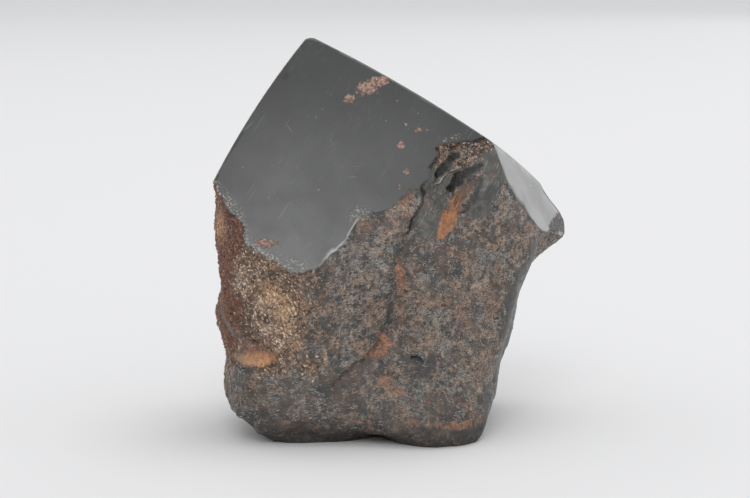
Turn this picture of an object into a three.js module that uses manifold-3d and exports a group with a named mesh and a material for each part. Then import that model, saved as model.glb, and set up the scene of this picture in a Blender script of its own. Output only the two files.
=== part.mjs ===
// A tourmaline point: one piece of black tourmaline with rough natural sides, a flat sawn base and a
// hand-polished point of five flat faces. Millimetres, +Z up. The front looks towards -Y, and the
// origin is on the base, under the middle of the stone.
import * as THREE from "three";
import { mergeVertices } from "three/addons/utils/BufferGeometryUtils.js";
import Module from "manifold-3d";

// ---- Driving dimensions: the polished point ----
// Corners where polished faces meet. Each face passes through three of them, and polishing by hand has
// left it gently domed, as part of a ball of domeRadius.
const apex = new THREE.Vector3(-17.3, 0.8, 77.4);
const leftShoulder = new THREE.Vector3(-35.2, -15.7, 50.4);
const rightShoulder = new THREE.Vector3(18.3, -10.2, 58);
const spurTop = new THREE.Vector3(31.4, 14.8, 45.7);
const spurFoot = new THREE.Vector3(29, -3.2, 38.3);
const backLeftCorner = new THREE.Vector3(-34.7, 15.8, 46);
const backFoot = new THREE.Vector3(-21.2, 24.8, 38);
const backShoulder = new THREE.Vector3(14.8, 26.8, 41);
const polishedFaces = [
  { name: "front", corners: [apex, leftShoulder, rightShoulder], domeRadius: 300 },
  { name: "left", corners: [apex, leftShoulder, backLeftCorner], domeRadius: 300 },
  { name: "top", corners: [apex, rightShoulder, spurTop], domeRadius: 300 },
  { name: "right", corners: [rightShoulder, spurTop, spurFoot], domeRadius: 900 },
  { name: "back", corners: [apex, backFoot, backShoulder], domeRadius: 300 },
];
const heart = new THREE.Vector3(-3, 0, 34); // a point inside the stone, to tell out from in

// ---- Driving dimensions: the rough sides ----
// The sides stand round an upright axis. Each looks out at an angle (degrees from +X towards +Y), and
// its distance from the axis at the foot and at the shoulder makes it lean in or out.
const axisX = -1.2;
const axisY = -1.2;
const shoulderHeight = 50;
const sides = [
  { name: "left", looks: 180, foot: 31.3, shoulder: 34.8 },
  { name: "left flank", looks: -128, foot: 36.1, shoulder: 33.5 },
  { name: "front", looks: -88, foot: 22.5, shoulder: 21.7 },
  { name: "front right", looks: -48, foot: 25.5, shoulder: 21 },
  { name: "right", looks: -4, foot: 18.7, shoulder: 32.3 },
  { name: "back right", looks: 44, foot: 27.3, shoulder: 32 },
  { name: "back", looks: 92, foot: 24, shoulder: 25 },
  { name: "back left", looks: 138, foot: 30, shoulder: 33 },
];
const cornerSharpness = 16; // the power that blends neighbouring sides: higher gives a sharper corner

// Swellings and hollows: the angle and height of the middle, how far it spreads across and up, and how
// far it stands out (a hollow's rise is negative).
const lumps = [
  { name: "spur", looks: 21, height: 38.5, across: 13, up: 5.5, rise: 12.4 },
  { name: "back of the spur", looks: 30, height: 45, across: 9, up: 5, rise: 0.4 },
  { name: "hollow before the spur", looks: 8, height: 37, across: 7, up: 4, rise: -6.8 },
  { name: "cheek under the right face", looks: -26, height: 48, across: 8, up: 6, rise: 3.3 },
  { name: "hollow under the right shoulder", looks: -54, height: 55, across: 6, up: 7, rise: -4.5 },
  { name: "brow over the cleft", looks: -36, height: 58, across: 6, up: 4, rise: -1.5 },
  { name: "breast", looks: -70, height: 50, across: 16, up: 9, rise: -4.5 },
  { name: "lip of the front face", looks: -80, height: 46, across: 5, up: 5, rise: -0.4 },
  { name: "ledge under the front face", looks: -106, height: 44, across: 6, up: 8, rise: -2.3 },
  { name: "ridge beside the left flank", looks: -126, height: 34, across: 5, up: 13, rise: 1.1 },
  { name: "top of the left flank", looks: -142, height: 44, across: 7, up: 7, rise: -0.9 },
  { name: "belly", looks: -105, height: 18, across: 16, up: 9, rise: -3.2 },
  { name: "bulge on the left", looks: 183, height: 23, across: 14, up: 4, rise: 0.6 },
  { name: "hip", looks: -20, height: 11, across: 20, up: 9, rise: 0.6 },
  { name: "broken lower left edge", looks: 196, height: 0, across: 24, up: 4.5, rise: -8.3 },
  { name: "toe", looks: -68, height: 1, across: 13, up: 8, rise: 1.9 },
  { name: "chip under the front", looks: -100, height: 0, across: 8, up: 2.2, rise: -7.5 },
  { name: "scar on the left flank", looks: -150, height: 16, across: 8, up: 4.5, rise: -2.4 },
];
const lumpRadius = 30; // turns an angle round the axis into a distance across the stone

// Grooves in the front, seen from -Y: their path (x, z), half-width on the left and on the right, and
// depth at the start and at the end.
const grooves = [
  {
    name: "cleft",
    path: [[17, 55.5], [12.4, 48.5], [8.8, 39]],
    left: 4.5,
    right: 7,
    depths: [3.4, 1.2],
  },
  {
    name: "crease",
    path: [[3.2, 42.5], [0.8, 36.5], [-0.4, 28.8], [-2, 21.8], [-6, 16.5], [-13, 11]],
    left: 3,
    right: 3.6,
    depths: [1.4, 0.9],
  },
];

// Waves all over the rough sides: each is shorter and lower than the one before.
const waveCount = 10;
const firstWaveLength = 17;
const waveShrink = 0.86;
const waveSteepness = 0.019;

const footRounding = 1.3; // how far the rubbed lower edge draws in
const footRoundingHeight = 1.4;

// ---- The mesh of the rough sides before they are cut ----
const stepsRound = 96;
const lowest = -3;
const highestRough = 62; // above this the polished faces cut every side away
const rowSpacing = 1.65;
const top = 92;

const stoneColour = 0x3b3835;
const stoneRoughness = 0.55;

const radians = THREE.MathUtils.degToRad;
const goldenAngle = Math.PI * (3 - Math.sqrt(5));
const goldenRatio = (Math.sqrt(5) - 1) / 2;

// Distance from the axis to the blended flat sides.
function sideRadius(angle, height) {
  let sum = 0;
  for (const side of sides) {
    const distance = side.foot + ((side.shoulder - side.foot) * height) / shoulderHeight;
    const facing = Math.max(Math.cos(angle - radians(side.looks)), 0);
    sum += (facing / distance) ** cornerSharpness;
  }
  return sum ** (-1 / cornerSharpness);
}

// Each lump is a bell curve in the distance across and the distance up.
function lumpRise(angle, height) {
  let rise = 0;
  for (const lump of lumps) {
    const turn = angle - radians(lump.looks);
    const across = (Math.atan2(Math.sin(turn), Math.cos(turn)) * lumpRadius) / lump.across;
    const up = (height - lump.height) / lump.up;
    rise += lump.rise * Math.exp(-across * across - up * up);
  }
  return rise;
}

// A groove is deepest on its path and runs out to nothing at its half-width.
function grooveDepth(groove, x, z) {
  let depth = 0;
  const stretches = groove.path.length - 1;
  for (let i = 0; i < stretches; i++) {
    const [startX, startZ] = groove.path[i];
    const alongX = groove.path[i + 1][0] - startX;
    const alongZ = groove.path[i + 1][1] - startZ;
    const length = Math.hypot(alongX, alongZ);
    const along = ((x - startX) * alongX + (z - startZ) * alongZ) / length ** 2;
    const nearest = THREE.MathUtils.clamp(along, 0, 1);
    const offX = x - startX - nearest * alongX;
    const offZ = z - startZ - nearest * alongZ;
    const rightOfPath = offX * alongZ - offZ * alongX < 0 ? groove.left : groove.right;
    const across = Math.hypot(offX, offZ) / rightOfPath;
    const full = THREE.MathUtils.lerp(...groove.depths, (i + nearest) / stretches);
    depth = Math.max(depth, full * Math.max(1 - across, 0) ** 1.5);
  }
  return depth;
}

// Sines whose directions turn by the golden angle, so that no two waves run alike.
function waveRise(x, y, z) {
  let rise = 0;
  for (let i = 0; i < waveCount; i++) {
    const length = firstWaveLength * waveShrink ** i;
    const up = 1 - 2 * ((i * goldenRatio) % 1);
    const level = Math.sqrt(1 - up * up);
    const along = x * level * Math.cos(i * goldenAngle) + y * level * Math.sin(i * goldenAngle) + z * up;
    rise += waveSteepness * length * Math.sin((along * 2 * Math.PI) / length + i);
  }
  return rise;
}

// A point of the rough sides.
function roughPoint(angle, height) {
  const level = sideRadius(angle, height) + lumpRise(angle, height);
  const fromAxisX = level * Math.cos(angle);
  const fromAxisY = level * Math.sin(angle);
  let radius = level + waveRise(fromAxisX, fromAxisY, height);
  if (fromAxisY < 0) for (const groove of grooves) radius -= grooveDepth(groove, axisX + fromAxisX, height);
  radius -= footRounding * Math.exp(-Math.max(height, 0) / footRoundingHeight);
  return [axisX + radius * Math.cos(angle), axisY + radius * Math.sin(angle), height];
}

// The rough sides as a closed column that reaches past the base and past the apex.
function roughColumn() {
  const heights = [];
  for (let height = lowest; height < highestRough; height += rowSpacing) heights.push(height);
  heights.push(top);
  const points = [];
  for (const height of heights)
    for (let i = 0; i < stepsRound; i++) points.push(...roughPoint((i * 2 * Math.PI) / stepsRound, height));
  const index = [];
  for (let row = 0; row < heights.length - 1; row++)
    for (let i = 0; i < stepsRound; i++) {
      const here = row * stepsRound + i;
      const next = row * stepsRound + ((i + 1) % stepsRound);
      index.push(here, next, next + stepsRound, here, next + stepsRound, here + stepsRound);
    }
  const lastRow = (heights.length - 1) * stepsRound;
  const floor = points.length / 3;
  points.push(axisX, axisY, lowest, axisX, axisY, top);
  for (let i = 0; i < stepsRound; i++) {
    const next = (i + 1) % stepsRound;
    index.push(floor, next, i, floor + 1, lastRow + i, lastRow + next);
  }
  const column = new THREE.BufferGeometry();
  column.setAttribute("position", new THREE.Float32BufferAttribute(points, 3));
  column.setIndex(index);
  return column;
}

// The circle through three points, and the direction out of the stone that its plane looks in.
function circleThrough(first, second, third) {
  const toSecond = second.clone().sub(first);
  const toThird = third.clone().sub(first);
  const square = toSecond.clone().cross(toThird);
  const centre = square.clone().cross(toSecond).multiplyScalar(toThird.lengthSq());
  centre.add(toThird.clone().cross(square).multiplyScalar(toSecond.lengthSq()));
  centre.divideScalar(2 * square.lengthSq());
  const radius = centre.length();
  centre.add(first);
  const outward = square.normalize();
  if (outward.dot(heart.clone().sub(centre)) > 0) outward.negate();
  return { centre, radius, outward };
}

// A block that stands on the circle and takes away all that is beyond it. Its lower face is hollow, as
// part of a ball that touches the circle, so the face that it leaves is domed.
function blockBeyond({ centre, radius, outward }, domeRadius) {
  const width = 170;
  const cells = 30;
  const thickness = 120;
  const block = new THREE.BoxGeometry(width, width, thickness, cells, cells, 1);
  block.translate(0, 0, thickness / 2);
  const points = block.attributes.position;
  const depthOfCentre = Math.sqrt(domeRadius ** 2 - radius ** 2);
  for (let i = 0; i < points.count; i++) {
    const ballHeight = Math.sqrt(domeRadius ** 2 - points.getX(i) ** 2 - points.getY(i) ** 2);
    if (points.getZ(i) < thickness / 2) points.setZ(i, ballHeight - depthOfCentre);
  }
  block.applyQuaternion(new THREE.Quaternion().setFromUnitVectors(new THREE.Vector3(0, 0, 1), outward));
  return block.translate(centre.x, centre.y, centre.z);
}

// The block below the saw cut of the base.
function blockBelowBase() {
  const width = 200;
  const thickness = 40;
  return new THREE.BoxGeometry(width, width, thickness).translate(0, 0, -thickness / 2);
}

const wasm = await Module();
wasm.setup();

function solidOf(geometry) {
  const bare = geometry.clone();
  bare.deleteAttribute("normal");
  bare.deleteAttribute("uv");
  const merged = mergeVertices(bare);
  const vertProperties = new Float32Array(merged.attributes.position.array);
  const triVerts = new Uint32Array(merged.index.array);
  return new wasm.Manifold(new wasm.Mesh({ numProp: 3, vertProperties, triVerts }));
}

function geometryOf(solid) {
  const { vertProperties, triVerts } = solid.getMesh();
  const geometry = new THREE.BufferGeometry();
  geometry.setAttribute("position", new THREE.Float32BufferAttribute(vertProperties, 3));
  geometry.setIndex(new THREE.BufferAttribute(triVerts, 1));
  geometry.computeVertexNormals();
  return geometry;
}

// ---- The stone: the rough column, sawn flat below and cut by the polished faces ----
let stoneSolid = solidOf(roughColumn()).subtract(solidOf(blockBelowBase()));
for (const face of polishedFaces)
  stoneSolid = stoneSolid.subtract(solidOf(blockBeyond(circleThrough(...face.corners), face.domeRadius)));

const stoneMaterial = new THREE.MeshStandardMaterial({
  color: stoneColour,
  roughness: stoneRoughness,
  metalness: 0,
  flatShading: true,
});
const stone = new THREE.Mesh(geometryOf(stoneSolid), stoneMaterial);
stone.name = "stone";

const tourmalinePoint = new THREE.Group();
tourmalinePoint.add(stone);
export default tourmalinePoint;
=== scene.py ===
import math
import bpy
import numpy as np
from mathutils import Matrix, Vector


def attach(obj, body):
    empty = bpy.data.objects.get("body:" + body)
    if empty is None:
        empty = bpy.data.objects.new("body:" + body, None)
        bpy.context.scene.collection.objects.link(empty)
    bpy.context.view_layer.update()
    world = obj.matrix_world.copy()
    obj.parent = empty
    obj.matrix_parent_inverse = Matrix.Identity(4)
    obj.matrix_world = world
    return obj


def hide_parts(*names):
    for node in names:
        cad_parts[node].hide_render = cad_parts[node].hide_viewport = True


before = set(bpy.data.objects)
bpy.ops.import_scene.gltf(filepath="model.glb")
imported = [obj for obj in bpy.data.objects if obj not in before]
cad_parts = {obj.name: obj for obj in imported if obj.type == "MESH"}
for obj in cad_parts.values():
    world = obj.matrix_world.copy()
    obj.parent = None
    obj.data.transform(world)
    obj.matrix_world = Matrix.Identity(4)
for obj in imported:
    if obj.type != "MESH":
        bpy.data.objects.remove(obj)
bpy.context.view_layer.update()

# ---- Camera ----
# It looks at the large polished face from about 40 cm, a little from above.
view_target = Vector((-0.0040, -0.0012, 0.0354))
view_distance = 0.420
view_down = math.radians(8)

camera_data = bpy.data.cameras.new("camera")
camera_data.sensor_width = 36
camera_data.lens = 100.8
camera = bpy.data.objects.new("camera", camera_data)
camera.location = view_target + view_distance * Vector((0, -math.cos(view_down), math.sin(view_down)))
camera.rotation_euler = (math.pi / 2 - view_down, 0, 0)
bpy.context.scene.collection.objects.link(camera)
bpy.context.scene.camera = camera

# ---- Stone: rough sides ----
# Black tourmaline as it broke and grew: flattish sides round an upright axis, with swellings, hollows,
# a cleft and a crease, then waves and grains over them. It is worked out in millimetres, as a column
# that reaches past the base and the tip, and is cut afterwards.
MM = 0.001
axis_x, axis_y = -1.2, -1.2
shoulder_height = 50
corner_sharpness = 16
sides = {  # looks towards (degrees from +X), distance from the axis at the foot and at the shoulder
    "left": (180, 31.3, 34.8),
    "left flank": (-128, 36.1, 33.5),
    "front": (-88, 22.5, 21.7),
    "front right": (-48, 25.5, 21),
    "right": (-4, 18.7, 32.3),
    "back right": (44, 27.3, 32),
    "back": (92, 24, 25),
    "back left": (138, 30, 33),
}
lumps = {  # looks towards, height of the middle, spread across and up, rise
    "spur": (21, 38.5, 13, 5.5, 12.4),
    "back of the spur": (30, 45, 9, 5, 0.4),
    "hollow before the spur": (8, 37, 7, 4, -6.8),
    "cheek under the right face": (-26, 48, 8, 6, 3.3),
    "hollow under the right shoulder": (-54, 55, 6, 7, -4.5),
    "brow over the cleft": (-36, 58, 6, 4, -1.5),
    "breast": (-70, 50, 16, 9, -4.5),
    "lip of the front face": (-80, 46, 5, 5, -0.4),
    "ledge under the front face": (-106, 44, 6, 8, -2.3),
    "ridge beside the left flank": (-126, 34, 5, 13, 1.1),
    "top of the left flank": (-142, 44, 7, 7, -0.9),
    "belly": (-105, 18, 16, 9, -3.2),
    "bulge on the left": (183, 23, 14, 4, 0.6),
    "hip": (-20, 11, 20, 9, 0.6),
    "broken lower left edge": (196, 0, 24, 4.5, -8.3),
    "toe": (-68, 1, 13, 8, 1.9),
    "chip under the front": (-100, 0, 8, 2.2, -7.5),
    "scar on the left flank": (-145, 19, 7, 4.5, -2.4),
}
usual_radius = 30  # turns an angle round the stone into millimetres
grooves = {  # path (x, z), half-width left and right of it, depth at its start and end
    "cleft": ([(17, 55.5), (12.4, 48.5), (8.8, 39)], 4.5, 7, 3.4, 1.2),
    "crease": (
        [(3.2, 42.5), (0.8, 36.5), (-0.4, 28.8), (-2, 21.8), (-6, 16.5), (-13, 11)], 3, 3.6, 1.4, 0.9
    ),
}
wave_count = 10
longest_wave, wave_shortening = 17, 0.86
wave_height = 0.019  # times its length
golden_angle = math.pi * (3 - math.sqrt(5))
golden_ratio = (math.sqrt(5) - 1) / 2


def side_radius(angle, height):
    """Blend of flat sides: the sum of (cos(angle to the side) / its distance) ^ sharpness over the sides,
    to the power -1 / sharpness."""
    total = 0
    for looks, foot, shoulder in sides.values():
        distance = foot + (shoulder - foot) * height / shoulder_height
        total = total + (np.maximum(np.cos(angle - math.radians(looks)), 0) / distance) ** corner_sharpness
    return total ** (-1 / corner_sharpness)


def lump_rise(angle, height):
    """Sum of bell curves in the distance across (turn times radius) and the distance up."""
    rise = 0
    for looks, middle, across, up, amount in lumps.values():
        turn = (angle - math.radians(looks) + math.pi) % (2 * math.pi) - math.pi
        rise = rise + amount * np.exp(-((turn * usual_radius / across) ** 2) - ((height - middle) / up) ** 2)
    return rise


def along_path(path, x, z):
    """Distance to a path in the front view, the share of it passed, and whether the point is left of it.

    Each straight stretch gives its nearest point, and the nearest of these is kept."""
    distance = np.full(np.shape(x), 1e9)
    passed = np.zeros(np.shape(x))
    left = np.zeros(np.shape(x), bool)
    for i, ((start_x, start_z), (end_x, end_z)) in enumerate(zip(path, path[1:])):
        run_x, run_z = end_x - start_x, end_z - start_z
        share = ((x - start_x) * run_x + (z - start_z) * run_z) / (run_x**2 + run_z**2)
        share = np.clip(share, 0, 1)
        off_x, off_z = x - start_x - share * run_x, z - start_z - share * run_z
        near = np.hypot(off_x, off_z)
        closer = near < distance
        distance = np.where(closer, near, distance)
        passed = np.where(closer, (i + share) / (len(path) - 1), passed)
        left = np.where(closer, off_x * run_z - off_z * run_x < 0, left)
    return distance, passed, left


def groove_depth(groove, x, z, fall=1.5):
    """Full depth on the path, falling to nothing at the half-width as (1 - distance / half-width) ^ fall."""
    path, half_left, half_right, first_depth, last_depth = groove
    distance, passed, left = along_path(path, x, z)
    across = distance / np.where(left, half_left, half_right)
    return (first_depth + (last_depth - first_depth) * passed) * np.maximum(1 - across, 0) ** fall


def wave_rise(x, y, z):
    """Ten sines from 17 mm down to 4 mm long, each turned on from the last by the golden angle."""
    rise = 0
    for i in range(wave_count):
        length = longest_wave * wave_shortening**i
        up = 1 - 2 * ((i * golden_ratio) % 1)
        level = math.sqrt(1 - up * up)
        along = x * level * math.cos(i * golden_angle) + y * level * math.sin(i * golden_angle) + z * up
        rise = rise + wave_height * length * np.sin(along * 2 * math.pi / length + i)
    return rise


def lattice(i, j, k, seed):
    """A fixed random number from 0 to 1 for each whole-number place, by mixing its bits."""
    mixed = i.astype(np.uint32) * np.uint32(374761393) + j.astype(np.uint32) * np.uint32(668265263)
    mixed = mixed + k.astype(np.uint32) * np.uint32(2246822519) + np.uint32(seed * 3266489917 % 2**32)
    mixed = (mixed ^ (mixed >> np.uint32(15))) * np.uint32(2654435761)
    mixed = (mixed ^ (mixed >> np.uint32(13))) * np.uint32(1274126177)
    return (mixed ^ (mixed >> np.uint32(16))) / 2**32


def noise(x, y, z, size, seed):
    """Smooth noise from -1 to 1: random numbers on a lattice of this size, eased between its corners."""
    shifted = [np.asarray(c) / size + 500 for c in (x, y, z)]
    corner = [np.floor(c).astype(np.int64) for c in shifted]
    ease = [(c - w) ** 2 * (3 - 2 * (c - w)) for c, w in zip(shifted, corner)]
    total = 0
    for a in (0, 1):
        for b in (0, 1):
            for c in (0, 1):
                weight = (ease[0] if a else 1 - ease[0]) * (ease[1] if b else 1 - ease[1])
                weight = weight * (ease[2] if c else 1 - ease[2])
                total = total + weight * lattice(corner[0] + a, corner[1] + b, corner[2] + c, seed)
    return 2 * total - 1


def grains(x, y, z, size, seed):
    """Packed grains: each point belongs to the nearest of one seed per lattice cell.

    Gives the distance to that seed and to the next one, in grain sizes, and the seed's random number."""
    shifted = [np.asarray(c) / size + 500 for c in (x, y, z)]
    cell = [np.floor(c).astype(np.int64) for c in shifted]
    nearest = np.full(np.shape(x), 9.0)
    second = np.full(np.shape(x), 9.0)
    tone = np.zeros(np.shape(x))
    for a in (-1, 0, 1):
        for b in (-1, 0, 1):
            for c in (-1, 0, 1):
                place = (cell[0] + a, cell[1] + b, cell[2] + c)
                off = [p + lattice(*place, seed + n) - s for n, (p, s) in enumerate(zip(place, shifted))]
                distance = np.sqrt(off[0] ** 2 + off[1] ** 2 + off[2] ** 2)
                second = np.where(distance < nearest, nearest, np.minimum(second, distance))
                tone = np.where(distance < nearest, lattice(*place, seed + 7), tone)
                nearest = np.minimum(nearest, distance)
    return nearest, second, tone


crust_radius, crust_grain, crust_gap = 33, 0.85, 0.12


def grain_pattern(angle, height):
    """Packed grains laid out on the turn round the stone (as millimetres) and the height.

    Gives 1 in the gaps between grains, falling to 0 inside them, and each grain's own random tone."""
    around = (angle % (2 * math.pi)) * crust_radius
    nearest, second, tone = grains(around, 0 * around, height, crust_grain, 21)
    return np.exp(-(second - nearest) / crust_gap), tone


def ease_in(value, low, high):
    """0 below low, 1 above high, and a smooth step between."""
    share = np.clip((value - low) / (high - low), 0, 1)
    return share * share * (3 - 2 * share)


def golden(x, y, z):
    """How golden and grainy the stone is: 1 on the left flank, with a smooth step down to 0 in the front, at
    the foot and round the left side, each at a line that noise makes wander."""
    ragged = 2.2 * noise(x, y, z, 5, 11) + 1.2 * noise(x, y, z, 1.6, 12)
    wandering = ragged + 7 * noise(x, y, z, 11, 13) * ease_in(y, -14, -2)
    front_edge = ease_in(-17 - x + 1.6 * ragged, -5, 4)
    foot_edge = ease_in(z - 15 + 1.5 * wandering, -2, 2)
    back_edge = ease_in(4 - y + 0.3 * (z - 30) + 2 * wandering, -3, 3)
    return front_edge * foot_edge * back_edge


slots = {  # narrow grooves and pits of the front: path (x, z), half-width left and right, depth at its ends
    "crack left of the cleft": (
        [(8.9, 56.4), (6.4, 51.6), (5.4, 49.4), (4.6, 46.6), (2.0, 40.6)], 0.55, 0.45, 1.1, 0.6
    ),
    "black band beside the streak": (
        [(17.6, 54.2), (14.8, 52.8), (12.5, 50.8), (10.4, 48.4)], 1.5, 1.3, 0.7, 1.4
    ),
    "slot right of the streak": (
        [(16.8, 51.4), (15.6, 48.4), (14.5, 46.2), (12.4, 43.6)], 1.2, 1.3, 0.9, 0.7
    ),
    "hollow under the crystals": ([(12.4, 55.4), (10.6, 54.0), (8.2, 51.4)], 1.2, 1.2, 0.8, 1.3),
    "gap under the polished edge": ([(11.0, 56.9), (14.5, 57.8), (18.2, 58.5)], 0.5, 0.5, 0.8, 0.7),
    "crease line": (
        [(0.4, 36), (-0.8, 29), (-2.4, 22), (-6, 17), (-12.6, 11.6)], 0.8, 0.6, 0.12, 0.45
    ),
    "line over the scar": ([(-31.8, 25.6), (-27.8, 20.6), (-24.4, 18.8)], 0.6, 0.6, 0.5, 0.5),
    "line under the scar": ([(-32.5, 15.6), (-27.5, 14.9), (-22.8, 15.6)], 0.5, 0.7, 0.5, 0.5),
    "pit": ([(3.4, 17.0), (5.4, 16.8)], 0.5, 0.5, 0.8, 0.9),
    "small pit": ([(8.8, 26.9), (9.3, 26.9)], 0.3, 0.3, 0.5, 0.5),
    "chip on the left edge": ([(-21.4, 70.9), (-22.4, 69.8)], 0.6, 0.6, 0.8, 0.8),
}
smooth_planes = [  # path (x, z) and half-width of the smooth cleavage planes of the cleft and the scar
    ([(7.3, 51.6), (6.4, 49.4), (5.5, 45.8), (4.4, 43.4)], 1.1),
    ([(10.0, 50.2), (8.7, 47.0), (7.6, 44.0), (6.6, 42.0)], 1.9),
    ([(19.6, 54.6), (19.0, 51.6), (17.4, 48.2), (16.0, 45.2)], 2.5),
    ([(-34.2, 24.8), (-31.0, 21.9), (-28.2, 19.4)], 0.9),
    ([(-30.0, 17.0), (-25.8, 17.2)], 1.7),
]
crystal_bands = [  # path (x, z) and half-width of the bands of small crystals over the cleft
    ([(8.8, 54.8), (9.6, 56.6), (11.6, 57.0)], 0.9),
    ([(18.3, 56.8), (16.7, 55.8), (14.5, 54.7), (12.9, 53.7)], 0.9),
    ([(11.8, 56.9), (14.6, 56.8), (17.8, 57.7)], 0.8),
]
ridges = [  # path (x, z), half-width and rise of the thin raised edges of the cleft
    ([(13.0, 53.2), (11.5, 52.4), (10.0, 51.7), (9.0, 50.7), (7.5, 50.0)], 0.4, 0.5),
    ([(8.0, 53.8), (7.6, 51.6), (7.1, 49.4)], 0.35, 0.3),
]
small_bumps = [  # bumps and dents along the outline: looks towards, height of the middle, spread, rise
    (-146, 43.2, 2.5, -0.6), (-140, 38.5, 3, 0.7), (-132, 35.6, 2.5, 0.2), (-123, 34.5, 2, 0.3),
    (-115, 38.5, 3.2, -0.7), (-104, 44.3, 2.2, 0.5), (-90, 45.8, 2.4, -0.6), (-77, 48.8, 2, -0.4),
    (-67, 49.6, 1.6, 0.4), (-61, 51.6, 2.2, 1.5), (-52, 55, 2, 0.7), (-44, 57.4, 2, -1.5),
    (-31, 58.2, 2.2, 1.1), (-20, 56.2, 2, -0.6), (-3, 39.8, 2.6, -1.6), (14, 37.5, 2.6, -2.6),
    (23, 37.6, 2.8, -0.5), (27, 41, 4, -1.0), (8, 31.5, 4, 0.6), (-4, 31.5, 3.2, 0.6),
    (-155, 49, 2, 0.3), (-97, 43, 1.6, -0.7), (-36, 56.2, 1.6, -1.9), (22, 41.2, 1.5, -1.3),
    (-88, 42.8, 2.0, -1.0), (-141, 2.5, 2.2, 0.8), (-131, 4.2, 1.6, -0.7),
]


def ragged_place(x, z):
    """The place of the front view pushed aside by noise, which makes the marks of the cleft uneven."""
    across = 0.55 * noise(x, 0 * x, z, 1.9, 43) + 0.3 * noise(x, 0 * x, z, 0.7, 44)
    up = 0.55 * noise(x, 0 * x + 50, z, 1.9, 45) + 0.3 * noise(x, 0 * x + 50, z, 0.7, 46)
    return x + across, z + up


def slot_depth(x, z):
    """The deepest of the narrow grooves at this place of the front view: steep-sided, thinner at the ends."""
    x, z = ragged_place(x, z)
    depth = 0
    for path, half_left, half_right, first_depth, last_depth in slots.values():
        distance, passed, left = along_path(path, x, z)
        narrowed = 0.2 + 0.8 * np.sqrt(4 * passed * (1 - passed))
        across = distance / (np.where(left, half_left, half_right) * narrowed)
        here = (first_depth + (last_depth - first_depth) * passed) * np.maximum(1 - across, 0) ** 0.7
        depth = np.maximum(depth, here)
    return depth


def ridge_rise(x, z):
    """The thin raised edges: full height on the path, falling evenly to nothing at the half-width."""
    x, z = ragged_place(x, z)
    rises = [groove_depth((path, reach, reach, rise, rise), x, z, 1) for path, reach, rise in ridges]
    return np.max(rises, axis=0)


flank_heights = [3, 9, 16, 21.5, 30, 36, 42]
flank_edges = [18.0, 18.9, 19.8, 20.6, 23.0, 25.5, 28]  # x of the strip's front edge at these heights


def right_flank(x, y, z):
    """1 on the smooth dark strip down the right flank, with a ragged edge to the front and to the back."""
    edge = np.interp(z, flank_heights, flank_edges)
    ragged = 1.9 * noise(x, y, z, 3.5, 47) + 1.2 * noise(x, y, z, 1.2, 48)
    behind = y + 2 * ragged + 9 * noise(x, y, z, 8, 49)
    return ease_in(x - edge + ragged, -1.2, 1.2) * (1 - ease_in(z, 36, 42)) * (1 - ease_in(behind, -6, 4))


def smooth(x, y, z):
    """1 on the cleavage planes of the cleft and down the right flank, falling to 0 round them."""
    amount = 0
    ragged_x, ragged_z = ragged_place(x, z)
    for path, half_width in smooth_planes:
        distance, _passed, _left = along_path(path, ragged_x, ragged_z)
        amount = np.maximum(amount, 1 - ease_in(distance / half_width, 0.75, 1.15))
    amount = np.where(y < 5, amount, 0) * np.where(x < -20, 0.65 * (1 - ease_in(y, -11, -5)), 1)
    return np.maximum(amount, 0.9 * right_flank(x, y, z))


def crystals(x, y, z):
    """1 in the bands of small crystals over the cleft."""
    amount = 0
    x, z = ragged_place(x, z)
    for path, half_width in crystal_bands:
        distance, _passed, _left = along_path(path, x, z)
        amount = np.maximum(amount, 1 - ease_in(distance / half_width, 0.6, 1.2))
    return np.where(y < 5, amount, 0)


grain_height, grain_gap_depth = 0.24, 0.15
crystal_height, crystal_gap_depth = 0.5, 0.3
felt_height = 0.16


def fine_relief(x, y, z, angle):
    """Grains less their gaps on the golden crust and in the crystal bands, and noise with lumps of 1 to 2 mm
    elsewhere, which is stronger at the broken lower left edge and nearly nothing on the smooth planes."""
    gold = golden(x, y, z)
    gap, tone = grain_pattern(angle, z)
    crystal_gap, crystal_tone = grain_pattern(angle * 1.3, z * 1.3)
    grain = grain_height * (tone - 1.5) - grain_gap_depth * gap
    crystal = crystal_height * (crystal_tone - 0.7) - crystal_gap_depth * crystal_gap
    fine = felt_height * noise(x, y, z, 2.3, 31) + felt_height * noise(x, y, z, 0.9, 32) - 0.18
    fine = fine - 0.08 + 0.9 * noise(x, y, z, 1.9, 33) * (1 - ease_in(z, 5, 9)) * ease_in(-x, 10, 17)
    even = 1 - 0.8 * smooth(x, y, z)
    return (1 - 0.5 * gold) * fine * even + gold * grain * even + crystals(x, y, z) * crystal


foot_rounding, foot_rounding_height = 1.3, 1.4


def rough_radius(angle, height):
    """The flat sides with their lumps and waves, less the grooves and the worn foot, with the small bumps,
    the fine relief and the narrow ridges and slots of the front over them."""
    level = side_radius(angle, height) + lump_rise(angle, height)
    from_axis_x, from_axis_y = level * np.cos(angle), level * np.sin(angle)
    x, y, z = axis_x + from_axis_x, axis_y + from_axis_y, height
    radius = level + wave_rise(from_axis_x, from_axis_y, height)
    on_front = from_axis_y < 0
    for groove in grooves.values():
        radius = radius - np.where(on_front, groove_depth(groove, x, z), 0)
    radius = radius - foot_rounding * np.exp(-np.maximum(height, 0) / foot_rounding_height)
    for looks, middle, spread, amount in small_bumps:
        turn = (angle - math.radians(looks) + math.pi) % (2 * math.pi) - math.pi
        radius = radius + amount * np.exp(-((turn * level / spread) ** 2) - ((height - middle) / spread) ** 2)
    x, y = axis_x + radius * np.cos(angle), axis_y + radius * np.sin(angle)
    radius = radius + fine_relief(x, y, z, angle)
    return radius + np.where(on_front, ridge_rise(x, z) - slot_depth(x, z), 0)


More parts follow.
